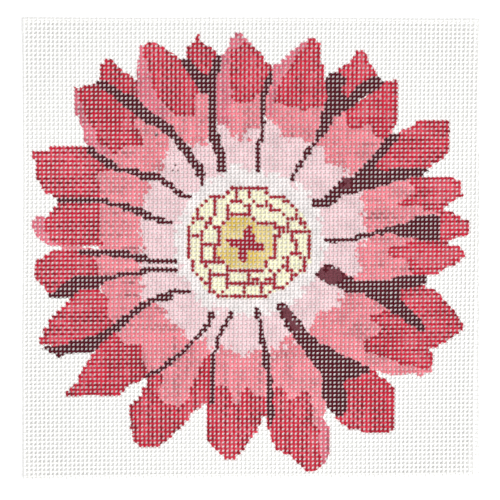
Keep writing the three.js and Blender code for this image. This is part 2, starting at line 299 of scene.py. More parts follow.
RING_MIDDLE = (-1, 3)  # of the thin white round the disc
RING_RADIUS = 33.5
STIPPLED_RADIUS = 62  # inside it, one wash is stippled into the next
STIPPLE = 5.0
RIM_BREADTH = 4.4  # along a red outline, where the crimson is thicker
STREAK = (18.0, 1.95)  # length and breadth of a streak of the brush
# Where thick paint has closed the holes of the mesh
CLOGGED = (
    ((30, -9.5), (33, -8), (36, -7.8), (40, -10), (43, -13), (38, -16), (34, -15.6), (30, -13)),
    ((39, 30.5), (41, 27), (45, 27.5), (45, 31), (42, 32)),
    ((13, -26), (16, -27), (21, -34), (23, -39), (19, -37), (14, -30)),
)


# ---------------------------------------------------------------------------
# Sizes and colours that a user would change
# ---------------------------------------------------------------------------

def length_setting(name, description, default, low, high):
    """A length for a user to change, in metres."""
    return bpy.props.FloatProperty(name=name, description=description, default=default, min=low, max=high,
                                   unit="LENGTH", precision=5)


def colour_setting(name, description, default):
    """A colour for a user to change."""
    return bpy.props.FloatVectorProperty(name=name, description=description, default=default, min=0.0,
                                         max=1.0, subtype="COLOR", size=3)


class CanvasWeaveSettings(bpy.types.PropertyGroup):
    """The mono canvas: its count, its threads and how evenly it lies."""

    holes: bpy.props.IntProperty(
        name="Holes", description="Gaps between threads along one side", default=105, min=10, max=400)
    thread_width: length_setting("Thread width", "Across a thread, pressed flat by the loom",
                                 0.00100, 0.0002, 0.003)
    thread_thickness: length_setting("Thread thickness", "Through a thread", 0.00046, 0.0001, 0.002)
    crimp: length_setting("Crimp", "How far a thread rises and falls as it is woven", 0.000235, 0.0, 0.001)
    hole_lean: length_setting("Hole lean", "Sideways sway of the threads, which makes the holes lean",
                              0.00011, 0.0, 0.0005)
    off_grain: length_setting(
        "Off grain", "How far the mesh has drawn in from the right cut edge at the bottom",
        0.0026, 0.0, 0.01)
    sag: length_setting("Weft sag", "How far the middle wefts have slid down", 0.0007, 0.0, 0.005)
    lift: length_setting("Corner lift", "How far the corners curl up from the table", 0.0011, 0.0, 0.005)
    rings: bpy.props.IntProperty(
        name="Rings", description="Cross sections of a thread for each hole", default=6, min=3, max=12)
    bands: bpy.props.IntProperty(
        name="Bands", description="Pieces that each set of threads is made in", default=8, min=1, max=16)


class CanvasPaintSettings(bpy.types.PropertyGroup):
    """The acrylic colours of the painting and how they were brushed on."""

    cotton: colour_setting("Cotton", "Bare sized cotton", (0.88, 0.88, 0.865))
    ring: colour_setting("Ring", "Thin white round the disc", (0.769, 0.713, 0.707))
    pale: colour_setting("Pale pink", "Inner part of the petals", (0.748, 0.527, 0.555))
    pink: colour_setting("Pink", "Middle of the petals", (0.730, 0.200, 0.240))
    red: colour_setting("Crimson", "Outer part of the petals", (0.515, 0.009, 0.035))
    edge: colour_setting("Dusty pink", "Turned rims of the petals", (0.640, 0.135, 0.190))
    plum: colour_setting("Plum", "Strokes between the petals", (0.076, 0.0030, 0.0098))
    # Lighter than the plum of the strokes: thick dried plum paint, with a painted sheen of its gloss mixed
    # into the colour
    film: colour_setting("Plum film", "Plum paint where it dried thick across the holes",
                         (0.150, 0.040, 0.054))
    cream: colour_setting("Cream", "Disc of the flower", (0.804, 0.776, 0.544))
    gold: colour_setting("Gold", "Patch on the disc", (0.610, 0.440, 0.090))
    line: colour_setting("Line red", "Lines and marks on the disc", (0.30, 0.004, 0.020))
    streaks: bpy.props.FloatProperty(
        name="Streaks", description="How much the brush streaks the red and pink", default=0.5,
        min=0.0, max=1.0, subtype="FACTOR")


class CanvasStageSettings(bpy.types.PropertyGroup):
    """The table, the light and the camera."""

    camera_height: length_setting("Camera height", "From the canvas up to the camera", 1.0, 0.3, 5.0)
    view_width: length_setting("View width", "Width of table that the camera takes in", 0.2262, 0.05, 2.0)
    view_middle: bpy.props.FloatVectorProperty(
        name="View middle", description="The point that the camera looks straight down at",
        subtype="TRANSLATION", unit="LENGTH", size=2, default=(-0.00086, -0.00084), precision=5)
    floor_size: length_setting("Table size", "Side of the pale table top", 30.0, 1.0, 60.0)
    table_glow: bpy.props.FloatProperty(
        name="Table glow", description="Light that the white table gives back through the mesh",
        default=0.08, min=0.0, max=2.0)
    key_power: bpy.props.FloatProperty(
        name="Key light", description="Power of the large soft light", default=43.0, min=0.0,
        max=500.0, unit="POWER")
    sky_strength: bpy.props.FloatProperty(
        name="Fill light", description="Strength of the even light from all round", default=0.8,
        min=0.0, max=5.0)


# ---------------------------------------------------------------------------
# The weave
# ---------------------------------------------------------------------------

class Weave:
    """Sizes of the mesh in millimetres, from the frame and the settings."""

    def __init__(self, settings):
        self.settings = settings
        low = WARP_BOX[0] / MM
        high = WARP_BOX[1] / MM
        self.width = high.x - low.x
        self.height = high.y - low.y
        self.middle_z = (low.z + WEFT_BOX[1].z / MM) / 2
        self.thread = settings.thread_width / MM
        self.half_thickness = settings.thread_thickness / MM / 2
        self.crimp = settings.crimp / MM
        self.pitch = (self.width - self.thread) / settings.holes
        self.last = settings.holes * self.pitch / 2  # from the middle to the outermost regular thread
        self.beaten = self.last + 1.02 * self.thread  # to the weft beaten close to the last one

    def crossing(self, along):
        """The nearest crossing of the mesh to each distance from the middle."""
        number = np.round((along + self.last) / self.pitch)
        number = np.clip(number, 0, self.settings.holes)
        return number * self.pitch - self.last

    def off_grain(self, x, y):
        """How far the mesh has drawn in to the left, growing down the canvas."""
        down = np.clip((self.last - y) / (2 * self.last), 0, 1)
        eased = 0.55 * (1 - (1 - down) ** 2) + 0.45 * down
        across = (x + self.last) / (2 * self.last)
        return -self.settings.off_grain / MM * eased * across

    def lay(self, x, y):
        """Where a point of the even mesh really lies: its two shifts and its lift."""
        size = self.width
        heart = np.exp(-(x ** 2 + y ** 2) / (2 * (0.15 * size) ** 2))  # where the paint drew it in
        spread = 0.30 * (x / size)
        sway = 0.16 * np.sin(2 * np.pi * (y / size * 1.3 + 0.2 * x / size) + 0.7)
        dx = self.off_grain(x, y) + spread + sway + 0.45 * heart
        bow = -self.settings.sag / MM * np.cos(np.pi * y / size)
        bow = bow * (1 + 0.25 * np.sin(2 * np.pi * x / size + 1.0))
        slack = 0.14 * np.sin(2 * np.pi * (x / size * 1.1 - 0.3 * y / size) + 2.1)
        # The wefts also climb to the right, close up and fan out a little.
        dy = bow + slack - 0.05 + 0.5 * x / size - 0.75 * y / size - 2.0 * x * y / size ** 2 - 0.7 * heart
        corner = np.clip(np.abs(2 * x / size), 0, 1) ** 4 * np.clip(np.abs(2 * y / size), 0, 1) ** 4
        ripple = 0.5 + 0.5 * np.sin(5.1 * x / size + 1.3) * np.sin(4.3 * y / size + 0.4)
        dz = self.settings.lift / MM * (corner + 0.22 * ripple)
        return dx, dy, dz


def smooth_step(value):
    value = np.clip(value, 0, 1)
    return value * value * (3 - 2 * value)


def mottle(x, y, cell, seed):
    """Smooth seeded noise from 0 to 1, with lumps about a cell across."""
    lattice = np.random.default_rng(seed).random((256, 256))
    column = np.floor(x / cell).astype(int)
    row = np.floor(y / cell).astype(int)
    fx = smooth_step(x / cell - column)
    fy = smooth_step(y / cell - row)
    low = lattice[row % 256, column % 256] * (1 - fx) + lattice[row % 256, (column + 1) % 256] * fx
    high = (lattice[(row + 1) % 256, column % 256] * (1 - fx)
            + lattice[(row + 1) % 256, (column + 1) % 256] * fx)
    return low * (1 - fy) + high * fy


def inside(outline, x, y):
    """Which points lie inside a closed outline."""
    outline = np.array(outline, float)
    found = np.zeros(x.shape, bool)
    low = outline.min(0)
    high = outline.max(0)
    near = (x >= low[0]) & (x <= high[0]) & (y >= low[1]) & (y <= high[1])
    px = x[near]
    py = y[near]
    hits = np.zeros(px.shape, bool)
    for (x0, y0), (x1, y1) in zip(outline, np.roll(outline, -1, axis=0)):
        if y0 == y1:
            continue
        spans = (y0 > py) != (y1 > py)
        hits ^= spans & (px < x0 + (py - y0) * (x1 - x0) / (y1 - y0))
    found[near] = hits
    return found


CORNER_CUT = 0.13  # of a side's length, off both its ends


def rounded(outline):
    """The outline with its corners cut once, so that a petal reads as a curve."""
    points = np.array(outline, float)
    after = np.roll(points, -1, axis=0)
    near = points * (1 - CORNER_CUT) + after * CORNER_CUT
    far = points * CORNER_CUT + after * (1 - CORNER_CUT)
    pairs = np.stack([near, far], axis=1)
    return pairs.reshape(-1, 2)


def near_line(line, x, y, breadth):
    """Which points lie within half the breadth of a run of straight lines."""
    found = np.zeros(x.shape, bool)
    for (x0, y0), (x1, y1) in zip(line, line[1:]):
        near = (x > min(x0, x1) - breadth) & (x < max(x0, x1) + breadth)
        near &= (y > min(y0, y1) - breadth) & (y < max(y0, y1) + breadth)
        px = x[near]
        py = y[near]
        length = (x1 - x0) ** 2 + (y1 - y0) ** 2 + 1e-9
        along = np.clip(((px - x0) * (x1 - x0) + (py - y0) * (y1 - y0)) / length, 0, 1)
        away = np.hypot(px - x0 - along * (x1 - x0), py - y0 - along * (y1 - y0))
        found[near] |= away < breadth / 2
    return found


def on_mesh(points, weave):
    """Where points that are counted in threads from the middle lie on the canvas."""
    even = (np.array(points, float) + 0.5) * weave.pitch
    dx, dy, _ = weave.lay(even[:, 0], even[:, 1])
    return even + np.stack([dx, dy], axis=-1)


def crossings(line):
    """Every crossing that a line along the threads passes, from corner to corner."""
    run = [line[0]]
    for corner in line[1:]:
        while run[-1] != corner:
            column, row = run[-1]
            step_across = (corner[0] > column) - (corner[0] < column)
            step_up = (corner[1] > row) - (corner[1] < row)
            run.append((column + step_across, row) if step_across else (column, row + step_up))
    return run


def paint_colours(x, y, own_x, own_y, cross_x, cross_y, weave, lengthwise):
    """The paint at each point of the canvas: its colour, and how thickly it covers from 0 to 1.

    x and y lean from the point itself, own_x and own_y, towards its nearest crossing.
    lengthwise is 1 for threads that run along X and 0 for threads that run along Y."""
    colours = bpy.context.scene.canvas_paint
    rgb = np.empty(x.shape + (3,))
    rgb[:] = colours.cotton
    cover = np.zeros(x.shape)

    def lay_on(where, colour, thickness):
        rgb[where] = colour
        cover[where] = thickness

    # Towards the heart one wash is stippled into the next, a thread or so each way.
    radius = np.hypot(x, y) + 1e-6
    stipple = STIPPLE * smooth_step((STIPPLED_RADIUS - radius) / 10)
    soft_x = x + stipple * (mottle(x, y, cell=1.3, seed=71) - 0.5)
    soft_y = y + stipple * (mottle(x, y, cell=1.3, seed=73) - 0.5)
    pinks = [rounded(outline) for petal in PETALS for outline in petal.get("pink", ())]
    lay_on(inside(rounded(PALE_HEART), x, y), colours.pale, 0.97)
    for outline in pinks:
        lay_on(inside(outline, x, y), colours.pink, 1.0)
    lay_on(inside(rounded(PALE_HEART), soft_x, soft_y), colours.pale, 0.97)
    ring = np.hypot(soft_x - RING_MIDDLE[0], soft_y - RING_MIDDLE[1])
    ring = ring + 3.0 * (mottle(x, y, cell=9.0, seed=5) - 0.5)
    lay_on(ring < RING_RADIUS, colours.ring, 0.95)
    rim = np.zeros(x.shape, bool)
    for petal in PETALS:
        for outline in petal.get("pink", ()):
            lay_on(inside(rounded(outline), soft_x, soft_y), colours.pink, 1.0)
        for part, colour in (("edge", colours.edge), ("red", colours.red)):
            for outline in petal.get(part, ()):
                lay_on(inside(rounded(outline), x, y), colour, 1.0)
                if part == "red":
                    rim |= near_line(outline + outline[:1], x, y, RIM_BREADTH)

    # The brush runs along each petal: it streaks the threads that lie its way and skips on the rest.
    along = np.abs(x) / radius if lengthwise else np.abs(y) / radius
    way = smooth_step((along - 0.45) / 0.4)
    stretch = STREAK if lengthwise else STREAK[::-1]
    streak = mottle(x / stretch[0], y / stretch[1], cell=1.0, seed=11 + lengthwise)
    blotch = mottle(x, y, cell=7.0, seed=21)
    fine = mottle(x, y, cell=1.6, seed=23)
    petal_paint = cover >= 1.0
    own_gap = np.hypot(own_x - cross_x, own_y - cross_y) / weave.pitch  # 0 at a crossing, 0.5 between
    skipped = (1 - way) * smooth_step((own_gap - 0.16) / 0.24)
    crimson = np.abs(rgb[..., 1] - colours.red[1]) < 1e-6
    bite = np.where(crimson, 1.5, 1.0)  # the crimson is brushed on drier
    deep = bite * (way * (streak - 0.4) * 1.5 - 0.55 * skipped)
    deep = deep + (blotch - 0.5) * 0.8 + (fine - 0.45) * 0.6
    deep = deep + (rim & crimson) * (0.15 + 0.5 * fine)  # thicker paint along a petal's edge
    deep = deep * colours.streaks * petal_paint * 1.6
    darker = np.clip(deep, 0, 1)[..., None]
    lighter = np.clip(-deep, 0, 1)[..., None]
    rgb *= 1 - 0.56 * darker
    rgb += (np.array(colours.edge) * 1.1 + 0.1 - rgb) * 0.48 * lighter
    cover[petal_paint] = (1 - 0.03 * (1 - way) * colours.streaks)[petal_paint]

    for outline in PLUM_STROKES:
        lay_on(inside(outline, x, y), colours.plum, 1.0)
    # Where thick paint has closed the holes, the threads take the lighter plum film colour, which holds a
    # painted sheen
    for outline in CLOGGED:
        lay_on(inside(outline, x, y) & (mottle(x, y, cell=2.6, seed=47) > 0.3), colours.film, 1.0)
    for px, py, size in PLUM_SPECKS:
        lay_on(np.hypot(own_x - px, own_y - py) < size, colours.plum, 0.9)
    lay_on(inside(on_mesh(DISC_ROUND, weave), x, y), colours.cream, 0.97)
    patchy = inside(rounded(on_mesh(DISC_GOLD, weave)), x, y)
    lay_on(patchy, colours.gold, 0.98)
    wash = smooth_step((mottle(x, y, cell=4.5, seed=31) - 0.35) * 2.2)[..., None]
    pale_gold = np.array(colours.gold) * 0.7 + np.array(colours.cream) * 0.3
    rgb[patchy] = (rgb * wash + pale_gold * (1 - wash))[patchy]
    rng = np.random.default_rng(51)
    for line in DISC_LINES:
        run = on_mesh(crossings(line), weave)
        for start, end in zip(run, run[1:]):
            if rng.random() < 0.85:
                lay_on(near_line((start, end), own_x, own_y, rng.uniform(0.9, 1.5)), colours.line, 0.97)
        for spot in run:
            lay_on(near_line((spot, spot), own_x, own_y, rng.uniform(1.5, 2.2)), colours.line, 0.99)
    for start, end, breadth in DISC_CROSS:
        lay_on(near_line(on_mesh((start, end), weave), x, y, breadth * weave.pitch), colours.line, 1.0)
    return rgb, cover


# ---------------------------------------------------------------------------
# Threads as meshes
# ---------------------------------------------------------------------------

SIDES = 8  # points round a thread's section
SECTION_POWER = 0.8  # below 1 squares the oval section, as the size press does


def section():
    """One thread's section: how far across and how far up each of its points lies, from -1 to 1."""
    turn = 2 * np.pi * np.arange(SIDES) / SIDES
    across = np.sign(np.cos(turn)) * np.abs(np.cos(turn)) ** SECTION_POWER
    up = np.sign(np.sin(turn)) * np.abs(np.sin(turn)) ** SECTION_POWER
    return across, up


def tube_points(path, half_width, half_height):
    """Points on the skin of each thread: path is (threads, rings, 3), the rest (threads, rings)."""
    tangent = np.gradient(path, axis=1)
    tangent /= np.linalg.norm(tangent, axis=2, keepdims=True)
    lateral = np.cross((0.0, 0.0, 1.0), tangent)
    lateral /= np.linalg.norm(lateral, axis=2, keepdims=True)
    up = np.cross(tangent, lateral)
    across, rise = section()
    skin = path[:, :, None, :]
    skin = skin + lateral[:, :, None, :] * (half_width[:, :, None] * across)[..., None]
    return skin + up[:, :, None, :] * (half_height[:, :, None] * rise)[..., None]


def thread_mesh(name, skin, colour, lengths, folds):
    """A mesh of closed tubes from skin points (threads, rings, sides, 3) in millimetres.

    colour is (threads, rings, sides, 4). lengths is how far along its thread each ring is. Each
    thread's skin is unrolled on the flat in a number of folds, one under the next."""
    threads, rings, sides = skin.shape[:3]
    corner = np.arange(threads * rings * sides).reshape(threads, rings, sides)
    turned = np.roll(corner, -1, axis=2)
    quads = np.stack([corner[:, :-1], turned[:, :-1], turned[:, 1:], corner[:, 1:]], axis=-1)
    caps = np.stack([corner[:, 0, ::-1], corner[:, -1]], axis=1)
    loops = np.concatenate([quads.ravel(), caps.ravel()])
    quad_total = quads.size // 4
    cap_total = threads * 2
    starts = np.concatenate([np.arange(quad_total) * 4, quad_total * 4 + np.arange(cap_total) * sides])

    mesh = bpy.data.meshes.new(name)
    mesh.vertices.add(corner.size)
    mesh.vertices.foreach_set("co", (skin * MM).astype(np.float32).ravel())
    mesh.loops.add(loops.size)
    mesh.loops.foreach_set("vertex_index", loops.astype(np.int32))
    mesh.polygons.add(quad_total + cap_total)
    mesh.polygons.foreach_set("loop_start", starts.astype(np.int32))
    mesh.polygons.foreach_set("use_smooth", np.ones(quad_total + cap_total, bool))
    mesh.update(calc_edges=True)

    layer = mesh.attributes.new("paint", "FLOAT_COLOR", "POINT")
    layer.data.foreach_set("color", colour.astype(np.float32).ravel())

    # Unrolled for the bake: a strip for each fold of each thread, and a patch for each cut end
    strips = threads * folds
    margin = 0.002
    skin_share = 0.975  # of each strip's length; the rest holds the cut ends
    gutter = 0.08  # of each strip's breadth, on both its sides
    patch_middle = 0.988
    fold_edge = np.round(np.linspace(0, rings - 1, folds + 1)).astype(int)
    fold = np.clip(np.searchsorted(fold_edge, np.arange(rings - 1), side="right") - 1, 0, folds - 1)
    first = fold_edge[fold]
    span = fold_edge[fold + 1] - first
    ring = np.arange(rings - 1)
    u_near = margin + (skin_share - margin) * (ring - first) / span
    u_far = margin + (skin_share - margin) * (ring + 1 - first) / span
    row = np.arange(threads)[:, None] * folds + fold[None, :]
    v_low = (row[:, :, None] + gutter + (1 - 2 * gutter) * np.arange(sides) / sides) / strips
    v_high = (row[:, :, None] + gutter + (1 - 2 * gutter) * (np.arange(sides) + 1) / sides) / strips
    bake = np.empty(quads.shape + (2,))
    bake[..., 0, 0] = bake[..., 1, 0] = u_near[None, :, None]
    bake[..., 2, 0] = bake[..., 3, 0] = u_far[None, :, None]
    bake[..., 0, 1] = bake[..., 3, 1] = v_low
    bake[..., 1, 1] = bake[..., 2, 1] = v_high
    turn = 2 * np.pi * np.arange(sides) / sides
    patch = np.stack([np.cos(turn) * 0.008, np.sin(turn) * 0.42 / strips], axis=-1)
    cap_bake = np.empty((threads, 2, sides, 2))
    top_row = (np.arange(threads) * folds + 0.5) / strips
    end_row = (np.arange(threads) * folds + folds - 0.5) / strips
    cap_bake[:, 0] = np.stack([np.full(threads, patch_middle), top_row], axis=-1)[:, None] + patch[::-1]
    cap_bake[:, 1] = np.stack([np.full(threads, patch_middle), end_row], axis=-1)[:, None] + patch
    flat = mesh.uv_layers.new(name="OFBake")
    flat.data.foreach_set("uv", np.concatenate([bake.ravel(), cap_bake.ravel()]).astype(np.float32))

    # Along and round the thread, for its twist: metres along, and turns round
    run = np.empty(quads.shape + (2,))
    run[..., 0, 0] = run[..., 1, 0] = (lengths[:, :-1] * MM)[:, :, None]
    run[..., 2, 0] = run[..., 3, 0] = (lengths[:, 1:] * MM)[:, :, None]
    run[..., 0, 1] = run[..., 3, 1] = np.arange(sides) / sides
    run[..., 1, 1] = run[..., 2, 1] = (np.arange(sides) + 1) / sides
    cap_run = np.zeros((threads, 2, sides, 2))
    cap_run[:, 0, :, 0] = lengths[:, :1] * MM
    cap_run[:, 1, :, 0] = lengths[:, -1:] * MM
    cap_run[..., 1] = np.arange(sides) / sides
    twist = mesh.uv_layers.new(name="Thread")
    twist.data.foreach_set("uv", np.concatenate([run.ravel(), cap_run.ravel()]).astype(np.float32))
    mesh.uv_layers.active = flat
    return mesh


def paint_threads(weave, skin, even_x, even_y, lengthwise):
    """Colour and cover for each skin point, from the crossing that it lies nearest to."""
    _, rise = section()
    sealed = smooth_step((np.abs(even_y) - weave.last - 0.2) / 0.4)  # 1 under the white sealing paint
    near_x = weave.crossing(even_x)
    near_y = weave.crossing(even_y)
    dx, dy, _ = weave.lay(near_x, near_y)
    blend = 0.62  # how far a point's paint follows its crossing
    stray = 0.8  # millimetres over which the edge of a colour wanders
    wobble_x = stray * (mottle(even_x, even_y, cell=2.3, seed=41) - 0.5)
    wobble_y = stray * (mottle(even_x, even_y, cell=2.3, seed=43) - 0.5)
    x = skin[..., 0] * (1 - blend) + (near_x + dx)[..., None] * blend + wobble_x[..., None]
    y = skin[..., 1] * (1 - blend) + (near_y + dy)[..., None] * blend + wobble_y[..., None]
    cross_x = np.broadcast_to((near_x + dx)[..., None], x.shape)
    cross_y = np.broadcast_to((near_y + dy)[..., None], x.shape)
    rgb, cover = paint_colours(x, y, skin[..., 0], skin[..., 1], cross_x, cross_y, weave, lengthwise)
    reach = smooth_step((rise + 1.35) / 1.25)  # paint soaks round the sides, and thinner beneath
    cover = cover * (0.75 + 0.25 * reach)
    cover = cover * (1 - sealed[..., None])
    return np.concatenate([rgb, cover[..., None]], axis=-1)


def thread_piece(name, mesh, material, thread_set):
    """Puts a mesh in the scene as a piece of the warp or the weft."""
    piece = bpy.data.objects.new(name, mesh)
    bpy.context.scene.collection.objects.link(piece)
    mesh.materials.append(material)
    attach(piece, "root")
    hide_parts(f"{thread_set}_threads")
    return piece


def even_stations(weave):
    """Distances from the middle at which every thread has a ring, out to the last crossings."""
    rings = weave.settings.rings
    steps = np.arange(weave.settings.holes * rings + 1)
    return steps * weave.pitch / rings - weave.last


def weave_phase(weave, along):
    """Half turns of the over and under, counted in crossings from the first one."""
    inner = (np.clip(along, -weave.last, weave.last) + weave.last) / weave.pitch
    outer = np.clip((np.abs(along) - weave.last) / (weave.beaten - weave.last), 0, 1)
    return inner + np.sign(along) * outer


def thread_sizes(weave, along, count, seed):
    """Half widths and half heights along threads that are never quite even."""
    number = np.arange(count)[:, None]  # each thread reads its own line of the noise
    lumps = mottle(along[None, :] + 0 * number, number * 37.0, cell=3.1, seed=seed)
    slow = mottle(along[None, :] + 0 * number, number * 53.0, cell=21.0, seed=seed + 1)
    pressed = np.cos(2 * np.pi * (along + weave.last) / weave.pitch)[None, :]
    width = weave.thread / 2 * (0.99 + 0.035 * pressed + 0.09 * (lumps - 0.5) + 0.06 * (slow - 0.5))
    height = weave.half_thickness * (1.0 - 0.03 * pressed + 0.05 * (lumps - 0.5))
    return width, height


def build_warp(weave, material):
    """The threads that run up the canvas, in bands."""
    settings = weave.settings
    inner = even_stations(weave)
    # Past the last crossing a thread has a few more rings, as far as its cut end.
    tail = np.array([0.34, 0.68, 1.0, 1.3]) * (weave.beaten - weave.last) + weave.last
    tail = np.append(tail[tail < weave.height / 2 - 0.05], weave.height / 2)
    y = np.concatenate([-tail[::-1], inner, tail])
    count = settings.holes + 1
    rng = np.random.default_rng(101)
    x0 = np.arange(count) * weave.pitch - weave.last
    x = np.broadcast_to(x0[:, None], (count, y.size)).copy()
    ys = np.broadcast_to(y[None, :], x.shape)
    parity = (-1.0) ** np.arange(count)[:, None]
    phase = weave_phase(weave, y)[None, :]
    z = weave.middle_z - weave.crimp * parity * np.cos(np.pi * phase)
    drift = 0.10 * (mottle(ys, np.arange(count)[:, None] * 71.0, cell=17.0, seed=7) - 0.5) * 2
    drift = drift + rng.normal(0, 0.022, (count, 1))
    lean = -settings.hole_lean / MM * np.sin(2 * np.pi * phase)
    dx, dy, dz = weave.lay(x, ys)
    path = np.stack([x + dx + drift + lean, ys + dy, z + dz], axis=-1)
    half_width, half_height = thread_sizes(weave, y, count, 13)
    skin = tube_points(path, half_width, half_height)
    band_pieces("warp", skin, paint_threads(weave, skin, x, ys, 0), ys, weave, material)


def build_weft(weave, material):
    """The threads that run across the canvas, with one more beaten close at the top and bottom."""
    settings = weave.settings
    inner = even_stations(weave)
    tail_steps = 8
    tail_share = np.arange(1, tail_steps + 1) / tail_steps
    left_end = weave.width / 2 - weave.last
    x = np.concatenate([[-weave.last - left_end, -weave.last - left_end * 0.5], inner,
                        weave.last + tail_share * left_end])
    regular = np.arange(settings.holes + 1) * weave.pitch - weave.last
    y0 = np.concatenate([[-weave.beaten], regular, [weave.beaten]])
    count = y0.size
    rng = np.random.default_rng(202)
    ys = np.broadcast_to(y0[:, None], (count, x.size)).copy()
    xs = np.broadcast_to(x[None, :], ys.shape)
    parity = (-1.0) ** (np.arange(count)[:, None] - 1)
    phase = (x + weave.last) / weave.pitch
    drift = 0.08 * (mottle(xs, np.arange(count)[:, None] * 71.0, cell=19.0, seed=9) - 0.5) * 2
    drift = drift + rng.normal(0, 0.022, (count, 1))
    lean = -settings.hole_lean / MM * np.sin(2 * np.pi * np.clip(phase, 0, settings.holes))[None, :]
    dx, dy, dz = weave.lay(xs, ys)
    px = xs + dx
    py = ys + dy + drift + lean
    half_width, half_height = thread_sizes(weave, x, count, 17)

    # Right of the last warp the cut ends reach out to the straight edge, thin and wavering. An end
    # frays more, the longer its loose part is.
    beyond = np.zeros(x.size)
    beyond[-tail_steps:] = tail_share
    reach = -weave.off_grain(np.full((count, 1), weave.last), y0[:, None])  # bare length of each end
    loose = np.clip(reach - 0.5, 0, None)
    frayed = np.clip(loose, 0, 1)
    last_x = px[:, x.size - tail_steps - 1][:, None]
    edge = weave.width / 2 + rng.normal(0, 0.10, (count, 1)) * frayed - 0.05
    px = np.where(beyond > 0, last_x + (edge - last_x) * beyond, px)
    wave = rng.uniform(-1, 1, (count, 1))
    sway = wave * np.sin(np.pi * beyond) * 0.20 + rng.normal(0, 0.16, (count, 1)) * beyond ** 2
    py = py + sway * np.clip(loose, 0, 1.2)
    half_width = half_width * (1 - 0.42 * smooth_step(beyond * 1.6) * frayed)
    half_height = half_height * (1 - 0.25 * smooth_step(beyond * 1.6) * frayed)
    over = np.cos(np.pi * phase)[None, :] * np.where(beyond > 0, 0.0, 1.0)
    last_over = np.cos(np.pi * settings.holes)
    over = over + np.where(beyond > 0, last_over * np.cos(np.pi * beyond * np.clip(reach, 0, 1)), 0.0)
    z = weave.middle_z + weave.crimp * parity * over
    path = np.stack([px, py, z + dz], axis=-1)
    skin = tube_points(path, half_width, half_height)
    band_pieces("weft", skin, paint_threads(weave, skin, xs, ys, 1), xs, weave, material)


def build_edge_warp(weave, material):
    """The warp that the off-grain cut has freed along the right edge, in the lower part."""
    top = 44.0  # where it meets the cut edge
    rings = 560
    y = np.linspace(-weave.height / 2, top, rings)[None, :]
    rng = np.random.default_rng(303)
    x = np.full(y.shape, weave.last)
    _, dy, dz = weave.lay(x, y)
    gap = -weave.off_grain(x, y)
    inset = 0.52  # of its middle from the cut edge
    middle = weave.width / 2 - inset + 0.22 * (mottle(y, 0 * y, cell=4.2, seed=61) - 0.5) * 2
    snug = weave.last - gap + 1.25  # it can't lie nearer to its neighbour than this
    path_x = np.maximum(middle, np.minimum(snug, middle + 0.3))
    path_x = path_x + 0.12 * np.sin(2 * np.pi * (y + weave.last) / (2 * weave.pitch) + 0.8)
    parity = (-1.0) ** (weave.settings.holes + 1)
    z = weave.middle_z - weave.crimp * 0.8 * parity * np.cos(np.pi * weave_phase(weave, y))
    path = np.stack([path_x, y + dy, z + dz], axis=-1)
    fade = smooth_step((top - y) / 12.0)
    half_width = weave.thread / 2 * (0.45 + 0.27 * fade + 0.12 * (mottle(y, 0 * y, cell=2.0, seed=63) - 0.5))
    half_height = weave.half_thickness * (0.72 + 0.1 * fade)
    skin = tube_points(path, half_width, half_height)
    colour = np.zeros(skin.shape[:3] + (4,))
    colour[..., :3] = bpy.context.scene.canvas_paint.cotton
    mesh = thread_mesh("edge_warp", skin, colour, y + rng.uniform(0, 9), 8)
    thread_piece("edge_warp", mesh, material, "warp")


YARN_STEP = 31.0  # millimetres of yarn between one thread and the next, so that no two look the same


def band_pieces(name, skin, colour, along, weave, material):
    """Parts a set of threads into bands and makes each one a piece."""
    count = skin.shape[0]
    lengths = along + np.arange(count)[:, None] * YARN_STEP
    bands = np.array_split(np.arange(count), weave.settings.bands)
    for number, members in enumerate(bands, start=1):
        piece_name = f"{name}_band_{number}"
        mesh = thread_mesh(piece_name, skin[members], colour[members], lengths[members], 3)
        piece = thread_piece(piece_name, mesh, material, name)


CLOGGED_SHARE = 0.93  # of the holes inside the clogged outlines
PANE_POINTS = 5  # along a side of the pane of paint in a hole
PANE_REACH = 0.60  # from its middle to its side
PANE_THICKNESS = 0.09


